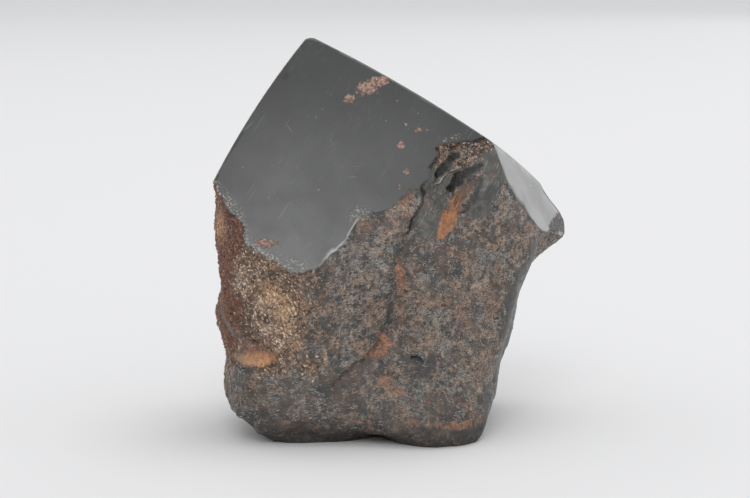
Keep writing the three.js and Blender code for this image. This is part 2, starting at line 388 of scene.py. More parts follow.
def closed_grid(points, name):
    """Rows of points round the stone, from the lowest row to the highest, closed by a point at each end."""
    rows, around = points.shape[:2]
    vertices = np.concatenate([points.reshape(-1, 3), points[[0, -1]].mean(axis=1)])
    row, step = np.meshgrid(np.arange(rows - 1), np.arange(around), indexing="ij")
    here, beside = row * around + step, row * around + (step + 1) % around
    quads = np.stack([here, beside, beside + around, here + around], axis=-1).reshape(-1, 4)
    ring = np.arange(around)
    after = (ring + 1) % around
    last = (rows - 1) * around
    floor = np.stack([np.full(around, rows * around), after, ring], axis=-1)
    roof = np.stack([np.full(around, rows * around + 1), last + ring, last + after], axis=-1)
    mesh = bpy.data.meshes.new(name)
    mesh.from_pydata(vertices * MM, [], quads.tolist() + floor.tolist() + roof.tolist())
    thing = bpy.data.objects.new(name, mesh)
    bpy.context.scene.collection.objects.link(thing)
    return thing


steps_round = 620  # closer together towards the front
closest_towards, closeness = math.radians(-72), 0.42
even_angles = np.linspace(-math.pi, math.pi, 4001)
angles = np.interp(
    np.arange(steps_round) * 2 * math.pi / steps_round - math.pi,
    even_angles + closeness * (np.sin(even_angles - closest_towards) - math.sin(math.pi - closest_towards)),
    even_angles,
)
below_base, cleft_foot, rough_top = -2, 38, 60
lower_rows = np.arange(below_base, cleft_foot, 0.37)
upper_rows = np.arange(cleft_foot, rough_top, 0.25)
cut_away_rows = [62, 82]  # the rough sides end below these, where the polished faces meet them
heights = np.concatenate([lower_rows, upper_rows, cut_away_rows])
height_grid, angle_grid = np.meshgrid(heights, angles, indexing="ij")
radius_grid = rough_radius(angle_grid, height_grid)
rough_points = np.stack(
    [axis_x + radius_grid * np.cos(angle_grid), axis_y + radius_grid * np.sin(angle_grid), height_grid],
    axis=-1,
)
stone = closed_grid(rough_points, "stone_surface")

# ---- Stone: polished faces and sawn base ----
# Five faces ground and polished by hand, so that each is gently domed, with lightly worn edges between
# them, and a base sawn flat. Each is cut with a block that has the face on its lower side.
apex = np.array([-17.2, 0.8, 77.9])
left_shoulder = np.array([-35.2, -15.7, 50.4])
right_shoulder = np.array([18.3, -10.2, 58])
spur_top = np.array([31.4, 14.8, 45.7])
spur_foot = np.array([29, -3.2, 38.3])
back_left_corner = np.array([-34.7, 15.8, 46])
back_foot = np.array([-21.2, 24.8, 38])
back_shoulder = np.array([14.8, 26.8, 41])
heart = np.array([-3, 0, 34])  # a place well inside the stone
face_corners = {  # three corners of each face and the radius of its dome
    "front": (apex, left_shoulder, right_shoulder, 300),
    "left": (apex, left_shoulder, back_left_corner, 190),
    "top": (apex, right_shoulder, spur_top, 300),
    "right": (right_shoulder, spur_top, spur_foot, 900),
    "back": (apex, back_foot, back_shoulder, 300),
}


def ball_through(first, second, third, ball_radius):
    """The ball of this radius through three corners, with its middle inside the stone.

    Gives the middle of the corners' circle, the way out of the stone there, and the ball's middle."""
    to_second, to_third = second - first, third - first
    square = np.cross(to_second, to_third)
    centre = np.cross(square, to_second) * (to_third @ to_third)
    centre = (centre + np.cross(to_third, square) * (to_second @ to_second)) / (2 * square @ square)
    depth = math.sqrt(ball_radius**2 - centre @ centre)
    outward = square / np.linalg.norm(square)
    if outward @ (heart - first - centre) > 0:
        outward = -outward
    return first + centre, outward, first + centre - outward * depth


tent_slope = 5


def cutting_block(floor, outward, name, finish):
    """A tent whose floor is this grid of points, with walls from its rim to one point far out along outward.

    The stone gets the finish with this number where the floor cuts it."""
    count_u, count_v = floor.shape[:2]
    number = np.arange(count_u * count_v).reshape(count_u, count_v)
    quads = np.stack([number[:-1, :-1], number[:-1, 1:], number[1:, 1:], number[1:, :-1]], axis=-1)
    rim = np.concatenate([number[:-1, 0], number[-1, :-1], number[:0:-1, -1], number[0, :0:-1]])
    walls = np.stack([rim, np.roll(rim, -1), np.full(len(rim), count_u * count_v)], axis=-1)
    middle = floor.reshape(-1, 3).mean(axis=0)
    far_out = middle + outward * tent_slope * np.linalg.norm(floor[0, 0] - middle)
    vertices = np.concatenate([floor.reshape(-1, 3), [far_out]])
    mesh = bpy.data.meshes.new(name)
    mesh.from_pydata(vertices * MM, [], quads.reshape(-1, 4).tolist() + walls.tolist())
    for material in finishes:
        mesh.materials.append(material)
    mesh.polygons.foreach_set("material_index", np.full(len(mesh.polygons), finish))
    block = bpy.data.objects.new(name, mesh)
    bpy.context.scene.collection.objects.link(block)
    return block


def directions(outward, along):
    """Two directions square to outward and to each other; the first is the nearest to along."""
    along = along - outward * (along @ outward)
    along = along / np.linalg.norm(along)
    return along, np.cross(outward, along)


def cut(block):
    """Takes the block away from the stone."""
    modifier = stone.modifiers.new(block.name, "BOOLEAN")
    modifier.operation = "DIFFERENCE"
    modifier.solver = "MANIFOLD"
    modifier.object = block
    modifier.material_mode = "INDEX"


def fine_steps(reach, cell, margin):
    """Steps of one cell across the face, and a few long ones out to the margin."""
    middle = np.arange(-reach, reach + cell / 2, cell)
    outside = np.linspace(reach, margin, 4)[1:]
    return np.concatenate([-outside[::-1], middle, outside])


finishes = [bpy.data.materials.new(name) for name in ("rough_stone", "polished_stone", "sawn_stone")]
rough, polished, sawn = 0, 1, 2
for finish in finishes:
    stone.data.materials.append(finish)
face_reach, block_reach = 36, 85
front_cell, other_cell = 0.5, 1.5
balls = {}
blocks = []
for name, (first, second, third, ball_radius) in face_corners.items():
    centre, outward, middle = ball_through(first, second, third, ball_radius)
    balls[name] = (middle, ball_radius, outward)
    steps = fine_steps(face_reach, front_cell if name == "front" else other_cell, block_reach)
    u, v = np.meshgrid(steps, steps, indexing="ij")
    along, across = directions(outward, second - first)
    flat = centre + u[..., None] * along + v[..., None] * across
    aside = ((flat - centre) ** 2).sum(axis=-1)
    rise_of_ball = np.sqrt(ball_radius**2 - aside) - (centre - middle) @ outward
    blocks.append(cutting_block(flat + rise_of_ball[..., None] * outward, outward, name, polished))


def on_both(first_face, second_face, guess):
    """The points of the edge between two domed faces that are nearest to the guesses.

    The points are put on one ball and the other by turns, which brings them to both."""
    points = np.array(guess, float)
    for _turn in range(80):
        for middle, ball_radius, _outward in (balls[first_face], balls[second_face]):
            away = points - middle
            points = middle + away * (ball_radius / np.linalg.norm(away, axis=-1))[..., None]
    return points


edge_wear = 0.13
wear_reach = 4
worn_edges = [  # the two faces, and two points near the edge between them
    ("front", "left", apex, left_shoulder),
    ("front", "top", apex, right_shoulder),
    ("top", "right", right_shoulder, spur_top),
    ("left", "back", apex, apex + np.array([-14, 22, -28])),
    ("top", "back", apex, apex + np.array([30, 19, -22])),
]
for first_face, second_face, one_end, other_end in worn_edges:
    run = other_end - one_end
    share = np.linspace(-0.08, 1.08, 60)
    edge = on_both(first_face, second_face, one_end + share[:, None] * run)
    outward = balls[first_face][2] + balls[second_face][2]
    along, across = directions(outward / np.linalg.norm(outward), run)
    outward = np.cross(across, along)
    outward = outward * np.sign(outward @ (one_end - heart))
    wear = edge_wear * (1 + 0.5 * noise(*edge.T, 6, 41) + 0.4 * noise(*edge.T, 1.5, 42))
    line = edge - wear[:, None] * outward
    floor = np.stack([line - wear_reach * across, line, line + wear_reach * across], axis=1)
    blocks.append(cutting_block(floor, outward, first_face + "_" + second_face + "_wear", polished))

tip_out = np.array([-0.15, -0.2, 1.0]) / np.linalg.norm([-0.15, -0.2, 1.0])
along, across = directions(tip_out, np.array([1.0, 0, 0]))
tip_reach, tip_wear, tip_roundness = 1.5, 0.64, 3.0
tip_steps = np.linspace(-tip_reach, tip_reach, 13)
u, v = np.meshgrid(tip_steps, tip_steps, indexing="ij")
sink = tip_wear + (u**2 + v**2) / (2 * tip_roundness)
tip_floor = apex - sink[..., None] * tip_out + u[..., None] * along + v[..., None] * across
blocks.append(cutting_block(tip_floor, tip_out, "tip_wear", polished))

down = np.array([0, 0, -1.0])
along, across = directions(down, np.array([1.0, 0, 0]))
base_steps = [-90.0, 0, 90]
u, v = np.meshgrid(base_steps, base_steps, indexing="ij")
blocks.append(cutting_block(u[..., None] * along + v[..., None] * across, down, "base", sawn))
for block in blocks:
    cut(block)

depsgraph = bpy.context.evaluated_depsgraph_get()
cut_mesh = bpy.data.meshes.new_from_object(stone.evaluated_get(depsgraph))
stone.modifiers.clear()
stone.data = cut_mesh
for block in blocks:
    bpy.data.objects.remove(block)

# ---- Stone: finish ----
# The polished faces are black and satin, with fine scratches, specks and a few rust-filled pits. The rough
# sides are grey and felted with short pale fibres, stained with rust, and golden and grainy on the left
# flank. The base is sawn. Marks kept at the points of the mesh say where each colour goes.
rust_spots = [  # x, z, reach across, reach up, strength
    (-27.9, 18.8, 3.0, 1.5, 0.9), (-25.8, 17.4, 2.4, 1.5, 0.9), (-30.5, 20.2, 1.6, 1.0, 0.6),
    (0.6, 34.6, 0.9, 2.8, 1.1), (1.2, 31.6, 1.0, 2.2, 1.1), (-2.2, 20.0, 1.7, 2.2, 1.25),
    (-4.4, 17.8, 1.8, 1.0, 1.05), (-2.0, 12.8, 1.3, 1.6, 1.05), (0.4, 10.6, 1.8, 0.9, 1.0),
    (10.3, 37.8, 1.4, 0.9, 0.85), (8.6, 36.0, 0.9, 1.2, 0.7), (12.3, 4.4, 6.0, 1.0, 0.95),
    (-6.3, 5.2, 2.4, 0.9, 0.85), (12.4, 26.4, 0.7, 1.6, 0.8), (4.6, 24.6, 0.8, 0.7, 0.8),
    (3.0, 5.4, 3.0, 0.8, 0.7), (1.6, 46.8, 1.2, 1.5, 1.0), (2.4, 44.2, 1.3, 1.0, 0.75),
    (-5.8, 42.6, 1.8, 0.8, 0.8), (-1.4, 41.6, 1.8, 0.6, 0.75), (31.0, 34.0, 1.6, 2.0, 0.8),
    (-13.0, 30.8, 1.2, 0.8, 0.7), (-24.6, 39.5, 2.4, 0.8, 1.25), (-5.6, 67.8, 2.2, 1.2, 1.25),
    (-3.0, 69.3, 2.0, 0.9, 1.25), (-9.2, 65.9, 1.2, 0.9, 1.25), (1.2, 57.2, 0.6, 0.45, 1.2),
    (2.3, 52.3, 0.5, 0.5, 1.0), (4.3, 59.6, 0.9, 0.35, 0.8), (0.8, 57.2, 0.6, 0.7, 1.2),
    (2.0, 61.1, 0.4, 0.4, 1.1), (4.5, 60.2, 0.8, 0.4, 1.0), (1.8, 52.5, 0.4, 0.6, 1.1),
    (1.6, 54.7, 0.4, 0.35, 1.0), (0.6, 49.7, 0.35, 0.5, 1.0), (6.1, 60.0, 0.5, 0.3, 0.9),
    (-5.0, 56.9, 0.35, 0.3, 0.9), (3.1, 47.9, 0.5, 0.5, 1.0), (-14.5, 29.6, 1.2, 0.6, 0.6),
    (13.0, 22.0, 0.8, 1.4, 0.6),
]
rust_streak = [(16.7, 51.2), (14.9, 49.8), (13.2, 48.2), (11.7, 46.7), (10.7, 44.4), (9.8, 42.4), (8.6, 40.7)]
streak_half_widths = [0.15, 0.4, 0.8, 1.3, 1.7, 1.6, 0.9]
scar_stain = [(-31.4, 16.9), (-28.6, 16.9), (-25.2, 17.6)]
pale_patches = [  # bright patches of the golden crust: x, z, reach across, reach up, strength
    (-29.6, 31.2, 1.6, 2.6, 0.9), (-26.4, 33.6, 0.9, 1.5, 0.9), (-24.0, 28.4, 1.9, 2.2, 0.8),
    (-20.7, 25.0, 1.5, 2.8, 1.0), (-25.0, 23.0, 1.6, 1.6, 0.8), (-26.3, 27.3, 1.4, 1.6, 0.7),
    (-22.8, 20.4, 1.2, 2.2, 0.8),
]
orange_patches = [
    (-24.0, 29.5, 2.4, 2.6, 0.9), (-20.6, 25.6, 2.0, 3.0, 1.0), (-34.3, 41.5, 1.5, 2.4, 0.9),
    (-35.6, 27.8, 1.4, 1.8, 0.9), (-15.9, 27.6, 1.6, 1.6, 0.6), (-18.5, 19.4, 1.6, 1.2, 0.7),
    (-24.5, 36.0, 2.6, 1.0, 0.4),
]
cream_flakes = [  # bright flakes in the felt: x, z, reach across, reach up, strength
    (5.8, 18.1, 0.35, 0.9, 1.0), (9.0, 17.9, 0.4, 0.8, 0.9), (7.7, 20.8, 0.6, 0.6, 0.8),
    (14.2, 18.1, 0.7, 0.8, 0.8), (16.2, 10.4, 0.8, 1.0, 0.9), (-8.6, 21.7, 0.3, 1.3, 0.9),
    (-9.8, 15.7, 1.2, 0.5, 0.8), (15.6, 30.3, 1.5, 0.6, 1.0), (17.8, 31.2, 0.8, 0.6, 0.9),
    (0.1, 17.2, 0.5, 0.8, 0.9), (-13.5, 17.5, 0.5, 1.6, 0.9), (-11.2, 19.4, 0.4, 1.2, 0.8),
    (-15.6, 13.6, 0.8, 0.7, 0.8), (0.4, 34.4, 0.7, 1.9, 0.6), (9.9, 35.8, 0.8, 0.6, 0.5),
]
hazy_places = [(-19, 57, 11, 8, 1), (2, 57, 10, 8, 0.9)]
# Two patches of the rough front darkened as painted shade: x, z, reach across and up, strength.
painted_shade_patches = [(19.6, 25, 1.8, 6, 0.5), (-29.5, 12.0, 3.4, 3.2, 0.5)]
blue_patches = [(3.0, 16.8, 4.0, 1.2, 0.65), (6, 14.4, 2.6, 1.8, 0.3)]
warm_patches = [(-8, 38, 9, 5, -1), (-14, 8, 12, 5, -0.8), (14, 30, 8, 8, 0.4), (-9, 23, 5, 5, 0.3)]
# The height up to which the foot is darkened as painted shade.
foot_shade = 5.2
frost_paths = [  # path (x, z) and reach of the frosted places of the front face
    ([(-35, 49.8), (-30.5, 44.8), (-28.6, 39.6), (-25.4, 37.4), (-21.6, 36.0), (-17.8, 35.2)], 1.9),
    ([(-8.4, 43.9), (-7.2, 45.4), (-5.4, 45.2)], 1.1),
    ([(9.2, 58.0), (12.5, 58.9)], 0.4),
]
chipped_path = [(-16.8, 35.2), (-12.6, 37.6), (-10.3, 40.4), (-8.6, 43.0), (-7.9, 44.0)]
# The second flat of the front face: level scratches on it, and a blacker colour that is painted shade.
second_flat = ([(-6.4, 51.5), (-5.0, 49.0), (-2.6, 48.2), (1.0, 49.5)], 3.4)
broken_end = ([(32.6, 38.4), (34.0, 39.0), (35.8, 38.0)], 3.0)


def near_path(path, reach, x, z):
    """1 on the path, falling in a smooth step to 0 at the reach."""
    distance, _passed, _left = along_path(path, x, z)
    return 1 - ease_in(distance / reach, 0, 1)


def bells(spots, x, z):
    """Sum of bell curves at the spots: x, z, reach across and up, and the strength if it is given."""
    total = 0
    for spot_x, spot_z, across, up, *strength in spots:
        bell = np.exp(-(((x - spot_x) / across) ** 2) - ((z - spot_z) / up) ** 2)
        total = total + bell * (strength[0] if strength else 1)
    return total


def streak(x, z):
    """How far inside the rust streak of the cleft, or the stain of the scar: 1 in the middle, 0 at the edge.

    It is 1 - distance to the path / half-width there. The stain has a level lower edge and fades upwards."""
    ragged_x, ragged_z = ragged_place(x, z)
    x, z = 0.6 * x + 0.4 * ragged_x, 0.6 * z + 0.4 * ragged_z
    distance, passed, _left = along_path(rust_streak, x, z)
    half_width = np.interp(passed, np.linspace(0, 1, len(streak_half_widths)), streak_half_widths)
    in_cleft = 1 - distance / half_width
    distance, passed, _left = along_path(scar_stain, x, z)
    on_scar = np.minimum(1 - distance / (0.5 + 1.8 * passed), (z - 15.4) / 1.0)
    on_scar = on_scar * (1 - 0.8 * ease_in(z, 17.0, 19.2))
    return np.clip(np.maximum(in_cleft, on_scar), -1, 1)


def ripeness(x, z):
    """How bright the rust is: more towards the lower end of the streak, and the lower right of the stain."""
    in_cleft = along_path(rust_streak, x, z)[1]
    on_scar = 0.2 + 0.75 * along_path(scar_stain, x, z)[1] - 0.35 * ease_in(z, 16.8, 18.8)
    return np.where(z > 30, in_cleft, on_scar)


def reddish(x, y, z):
    """How red the golden crust is: along the left edge, more of it towards the top, and less behind."""
    wandering = 2.2 * noise(x, y, z, 4.5, 97) + 0.8 * noise(x, y, z, 1.5, 98)
    on_edge = ease_in(-x + 0.4 * np.maximum(z - 33, 0) + wandering, 29.5, 32.5)
    return on_edge * (1 - 0.7 * ease_in(y, -12, -2))


def towards_front(y):
    """1 where the crust faces the front, falling to 0 round the left side."""
    return 1 - ease_in(y, -13, -3)


def felt_clump(x, y, z):
    """Where the pale felt lies thick: patches of about one millimetre, and larger ones."""
    clumps = noise(x, y, z, 1.0, 83) + 0.6 * noise(x, y, z, 2.4, 94) + 0.4 * noise(x, y, z, 7, 84)
    return ease_in(clumps, -0.6, 0.45)


# Places with more or less dust: more beside the spur and the cleft; the lower left darker as painted shade.
dusty_and_shaded_places = [(21, 45, 4, 4, 0.35), (9, 45, 12, 4, 0.35), (-7, 33, 6, 5, 0.05), (-26, 9, 6, 6, -0.12)]
clean_places = [(3.0, 16.8, 3.6, 1.1, -0.6), (5.5, 15.0, 2.4, 1.6, -0.3), (14, 30, 5, 5, -0.08)]


def dust_and_shade(x, z):
    """How pale and dusty the felt is: less along the crease, more beside the spur, and less towards the foot
    and at the lower left, which is painted shade.
    """
    amount = 0.32 + 0.5 * ease_in(z, 3, 19) - 0.45 * near_path(grooves["crease"][0], 2.6, x, z)
    return np.clip(amount + bells(dusty_and_shaded_places + clean_places, x, z), 0, 1.2)


def layer(tree, kind, *values, **settings):
    """One node, with its inputs in order (None leaves one as it is) and its settings."""
    node = tree.nodes.new(kind)
    for name, value in settings.items():
        setattr(node, name, value)
    for socket, value in zip(node.inputs, values):
        if isinstance(value, bpy.types.NodeSocket):
            tree.links.new(value, socket)
        elif value is not None:
            socket.default_value = value
    return node


def sums(tree, operation, *values):
    """The result of one arithmetic step with this name."""
    return layer(tree, "ShaderNodeMath", *values, operation=operation).outputs[0]


def plus(tree, first, second):
    """The first value plus the second."""
    return sums(tree, "ADD", first, second)


def minus(tree, first, second):
    """The first value minus the second."""
    return sums(tree, "SUBTRACT", first, second)


def times(tree, first, second):
    """The first value times the second."""
    return sums(tree, "MULTIPLY", first, second)


def larger(tree, first, second):
    """The larger of the two values."""
    return sums(tree, "MAXIMUM", first, second)


def thinned(tree, amount, by, strength):
    """The amount times (1 - strength times by)."""
    return times(tree, amount, minus(tree, 1.0, times(tree, by, strength)))


def rise(tree, value, low, high, below=0.0, above=1.0):
    """Smooth step from below to above while the value goes from low to high."""
    return layer(tree, "ShaderNodeMapRange", value, low, high, below, above,
                 interpolation_type="SMOOTHSTEP").outputs[0]


def coat(tree, amount, under, over):
    """Colour that goes from under to over with the amount."""
    values = [amount, None, None, None, None, None, under, over]
    return layer(tree, "ShaderNodeMix", *values, data_type="RGBA").outputs[2]


def marked(tree, name, strength=None):
    """The mark of this name at the points of the mesh, times the strength if it is given."""
    value = layer(tree, "ShaderNodeAttribute", attribute_name=name).outputs["Fac"]
    return value if strength is None else times(tree, value, strength)


def cloud(tree, place, size, detail=2, distortion=0.0):
    """Noise from 0 to 1 with lumps of this size in millimetres."""
    node = layer(tree, "ShaderNodeTexNoise", place)
    node.inputs["Scale"].default_value = 1 / (size * MM)
    node.inputs["Detail"].default_value = detail
    node.inputs["Distortion"].default_value = distortion
    return node.outputs["Fac"]


def mottled(tree, place, under, over, size, detail, low, high, most=1.0):
    """Colour that goes from under to over while noise of this lump size goes from low to high.

    With a value for most, it goes only that share of the way."""
    return coat(tree, rise(tree, cloud(tree, place, size, detail), low, high, 0.0, most), under, over)


def ragged(tree, name, noise_from_middle, reach):
    """The mark of this name with its edge pushed in and out: the mark plus the reach times noise about 0."""
    return plus(tree, marked(tree, name), times(tree, noise_from_middle, reach))


def wisps(tree, place, size, half_width, broken_size, low=0.44, high=0.56):
    """Thin curling lines, where noise of this lump size passes its middle value, broken by larger noise."""
    away = sums(tree, "ABSOLUTE", minus(tree, cloud(tree, place, size, 1.5, 0.9), 0.5))
    line = rise(tree, away, half_width * 0.3, half_width, 1.0, 0.0)
    return times(tree, line, rise(tree, cloud(tree, place, broken_size, 1), low, high))


def drawn_out(tree, place, along, across, length, width):
    """Coordinates in which one unit is this long and this wide in millimetres."""
    parts = []
    for direction, size in ((along, length), (across, width)):
        direction = Vector(direction).normalized() / (size * MM)
        dot = layer(tree, "ShaderNodeVectorMath", place, tuple(direction), operation="DOT_PRODUCT")
        parts.append(dot.outputs["Value"])
    return layer(tree, "ShaderNodeCombineXYZ", *parts).outputs[0]


one_unit = 1 / MM  # the size of a cloud whose lumps are one unit of drawn_out coordinates


def strokes(tree, place, along, across, length, width, share):
    """Separate pointed strokes, one in each cell of this length and width, in this share of the cells."""
    cells = layer(tree, "ShaderNodeTexVoronoi", drawn_out(tree, place, along, across, length, width))
    cells.inputs["Scale"].default_value = 1
    chance = layer(tree, "ShaderNodeSeparateColor", cells.outputs["Color"])
    kept = rise(tree, chance.outputs["Red"], 1 - share - 0.01, 1 - share)
    reach = rise(tree, chance.outputs["Green"], 0, 1, 0.06, 0.2)
    inside = rise(tree, sums(tree, "DIVIDE", cells.outputs["Distance"], reach), 0.5, 1.0, 1.0, 0.0)
    strength = plus(tree, 0.35, times(tree, chance.outputs["Blue"], 0.65))
    return times(tree, times(tree, inside, kept), strength)


def packed(tree, place, size):
    """Packed grains of this size in millimetres: each grain's own random tone, and 1 in the gaps."""
    nudge = layer(tree, "ShaderNodeTexNoise", place)
    nudge.inputs["Scale"].default_value = 1 / (size * 1.5 * MM)
    offset = layer(tree, "ShaderNodeVectorMath", nudge.outputs["Color"], (0.5,) * 3, operation="SUBTRACT")
    offset = layer(tree, "ShaderNodeVectorMath", offset.outputs[0], operation="SCALE")
    offset.inputs["Scale"].default_value = size * MM
    moved = layer(tree, "ShaderNodeVectorMath", place, offset.outputs[0], operation="ADD").outputs[0]
    cells = layer(tree, "ShaderNodeTexVoronoi", moved)
    edges = layer(tree, "ShaderNodeTexVoronoi", moved, feature="DISTANCE_TO_EDGE")
    for node in (cells, edges):
        node.inputs["Scale"].default_value = 1 / (size * MM)
    tone = layer(tree, "ShaderNodeSeparateColor", cells.outputs["Color"]).outputs["Red"]
    return tone, rise(tree, edges.outputs["Distance"], 0.02, 0.16, 1.0, 0.0)


def start(material):
    """The material's tree and its shader, and the object's own coordinates."""
    material.use_nodes = True
    tree = material.node_tree
    shader = tree.nodes["Principled BSDF"]
    return tree, shader, layer(tree, "ShaderNodeTexCoord").outputs["Object"]


def join(tree, shader, colour, roughness, height, depth):
    """Wires colour, roughness and relief into the shader; the relief is this many millimetres deep."""
    tree.links.new(colour, shader.inputs["Base Color"])
    tree.links.new(roughness, shader.inputs["Roughness"])
    bump = layer(tree, "ShaderNodeBump")
    bump.inputs["Strength"].default_value = 1.0
    bump.inputs["Distance"].default_value = depth * MM
    tree.links.new(height, bump.inputs["Height"])
    tree.links.new(bump.outputs[0], shader.inputs["Normal"])


tree, shader, place = start(finishes[rough])
shader.inputs["IOR"].default_value = 1.6

# Felt: dark stone with brown patches, dust in clumps, and fine curling fibres, grey or tan; both thin out
# towards the foot as painted shade.
felt_dark = (0.034, 0.035, 0.034, 1)
felt_brown = (0.085, 0.060, 0.047, 1)
fibre_grey = (0.43, 0.415, 0.385, 1)
fibre_tan = (0.49, 0.36, 0.27, 1)
dust_colour = (0.33, 0.235, 0.18, 1)
dust_grey = (0.15, 0.152, 0.148, 1)
flake_cream = (0.52, 0.40, 0.29, 1)
edge_noise = minus(tree, cloud(tree, place, 0.5, 3), 0.5)
patches = rise(tree, cloud(tree, place, 5, 3), 0.42, 0.60)
colour = coat(tree, times(tree, patches, 0.8), felt_dark, felt_brown)
blotches = rise(tree, cloud(tree, place, 1.7, 3), 0.50, 0.66)
dust = rise(tree, cloud(tree, place, 0.7, 5), 0.44, 0.60)
warm = plus(tree, cloud(tree, place, 2.6, 3), marked(tree, "warmth", 0.12))
warm = rise(tree, warm, 0.42, 0.56)
dust_tone = coat(tree, warm, dust_grey, dust_colour)
colour = coat(tree, times(tree, dust, marked(tree, "dusty_and_shaded")), colour, dust_tone)
fibre_tone = coat(tree, warm, fibre_grey, fibre_tan)
long_fibres = wisps(tree, place, 0.8, 0.05, 1.4)
short_fibres = wisps(tree, place, 0.42, 0.06, 0.9, 0.42, 0.55)
fibres = times(tree, larger(tree, long_fibres, short_fibres), marked(tree, "dusty_and_shaded"))
fibres = thinned(tree, fibres, blotches, 0.7)
colour = coat(tree, times(tree, blotches, 0.45), colour, felt_dark)
colour = coat(tree, times(tree, fibres, 0.9), colour, fibre_tone)
fleck = cloud(tree, place, 0.45, 3)
flake = ragged(tree, "cream", minus(tree, fleck, 0.5), 2.0)
colour = coat(tree, rise(tree, flake, 0.3, 0.9, 0.0, 0.8), colour, flake_cream)

# Golden crust: packed grains of two sizes, each its own tone, with dark gaps, red along the left edge.
gold_dark = (0.135, 0.085, 0.06, 1)
gold_middle = (0.37, 0.25, 0.18, 1)
gold_pale = (0.66, 0.51, 0.385, 1)
gap_dark = (0.028, 0.02, 0.015, 1)
grain_red = (0.20, 0.067, 0.034, 1)
grain_orange = (0.80, 0.49, 0.27, 1)
tone, gap = packed(tree, place, 0.75)
small_tone, small_gap = packed(tree, place, 0.38)
golden_tone = plus(tree, times(tree, tone, 0.45), times(tree, small_tone, 0.25))
golden_tone = plus(tree, golden_tone, marked(tree, "pale", 0.5))
golden_tone = plus(tree, golden_tone, times(tree, fleck, 0.5))
golden_tone = plus(tree, golden_tone, rise(tree, cloud(tree, place, 3.0, 3), 0.38, 0.62, -0.12, 0.12))
crust = coat(tree, rise(tree, golden_tone, 0.38, 0.72), gold_dark, gold_middle)
crust = coat(tree, rise(tree, golden_tone, 0.72, 1.15), crust, gold_pale)
crust = coat(tree, marked(tree, "left", 0.85), crust, grain_red)
uneven = rise(tree, cloud(tree, place, 1.2, 4), 0.36, 0.58, 0.2, 0.9)
crust = coat(tree, times(tree, marked(tree, "orange"), uneven), crust, grain_orange)
crust = mottled(tree, place, crust, felt_dark, 1.4, 3, 0.55, 0.66, 0.8)
gap = larger(tree, gap, times(tree, small_gap, 0.5))
crust = coat(tree, times(tree, gap, 0.6), crust, gap_dark)
crust_edge = plus(tree, marked(tree, "golden"), minus(tree, cloud(tree, place, 1.4, 4), 0.5))
colour = coat(tree, rise(tree, crust_edge, 0.3, 0.7), colour, crust)

# Crystal bands over the cleft: dark grit with pale, rusty and brown specks.
crystal_pale = (0.48, 0.43, 0.385, 1)
rust_dark = (0.17, 0.085, 0.055, 1)
grit = mottled(tree, place, gap_dark, crystal_pale, 0.6, 3, 0.50, 0.62)
grit = mottled(tree, place, grit, rust_dark, 1.3, 2, 0.48, 0.62, 0.7)
grit = coat(tree, times(tree, rise(tree, fleck, 0.45, 0.62), 0.8), grit, gold_dark)
colour = coat(tree, marked(tree, "crystals"), colour, grit)

# Smooth planes of the cleft and the scar: dark grey, scored along their length; and the right flank.
plane_grey = (0.060, 0.061, 0.056, 1)
plane_scratch = (0.20, 0.195, 0.175, 1)
flank_grey = (0.046, 0.047, 0.044, 1)
black = (0.012, 0.012, 0.012, 1)
down_cleft, across_cleft = (0.5, 0, 0.86), (-0.86, 0, 0.5)
scored = cloud(tree, drawn_out(tree, place, down_cleft, across_cleft, 3.0, 0.28), one_unit, 3)
plane = coat(tree, rise(tree, scored, 0.52, 0.72), plane_grey, plane_scratch)
plane = mottled(tree, place, plane, dust_grey, 0.8, 4, 0.55, 0.68, 0.5)
plane = mottled(tree, place, plane, black, 2.2, 3, 0.5, 0.66, 0.5)
plane = coat(tree, strokes(tree, place, down_cleft, across_cleft, 4.0, 0.8, 0.2), plane, crystal_pale)
plane_noise = minus(tree, cloud(tree, place, 1.0, 4), 0.5)
plane_amount = rise(tree, ragged(tree, "smooth", plane_noise, 1.4), 0.35, 0.75)
plane = coat(tree, marked(tree, "scar", 0.7), plane, felt_brown)
colour = coat(tree, times(tree, plane_amount, 0.9), colour, plane)
flank = rise(tree, ragged(tree, "flank", edge_noise, 1.2), 0.4, 0.8)
flank_tone = mottled(tree, place, flank_grey, dust_grey, 0.9, 5, 0.48, 0.68, 0.45)
flank_tone = mottled(tree, place, flank_tone, felt_brown, 1.8, 4, 0.54, 0.66, 0.6)
colour = coat(tree, times(tree, flank, 0.85), colour, flank_tone)

# Rust: stains with ragged edges, thinner under fibres and on the flank, and the brushed streak.
rust_colour = (0.40, 0.175, 0.10, 1)
streak_dark = (0.13, 0.075, 0.05, 1)
streak_colour = (0.43, 0.18, 0.075, 1)
rust_tone = mottled(tree, place, rust_dark, rust_colour, 0.6, 4, 0.40, 0.62)
stray = rise(tree, cloud(tree, place, 2.0, 4), 0.59, 0.72, 0.0, 0.45)
stain_noise = minus(tree, cloud(tree, place, 0.8, 5), 0.55)
stain = rise(tree, ragged(tree, "rust", stain_noise, 2.2), 0.25, 0.95, 0.0, 0.9)
stain = thinned(tree, thinned(tree, larger(tree, stain, stray), fibres, 0.6), flank, 0.8)
colour = coat(tree, stain, colour, rust_tone)
brushed = cloud(tree, drawn_out(tree, place, (-0.5, 0, -0.85), (0.85, 0, -0.5), 1.6, 0.35), one_unit, 4)
brushed = plus(tree, brushed, marked(tree, "ripe", 0.55))
streak_tone = coat(tree, rise(tree, brushed, 0.68, 0.92), streak_dark, streak_colour)
streak_tone = mottled(tree, place, streak_tone, streak_dark, 0.7, 4, 0.48, 0.66, 0.5)
streak_tone = coat(tree, marked(tree, "scar", 0.3), streak_tone, grain_orange)
in_streak = ragged(tree, "streak", edge_noise, 1.3)
colour = coat(tree, rise(tree, in_streak, -0.05, 0.3, 0.0, 0.95), colour, streak_tone)
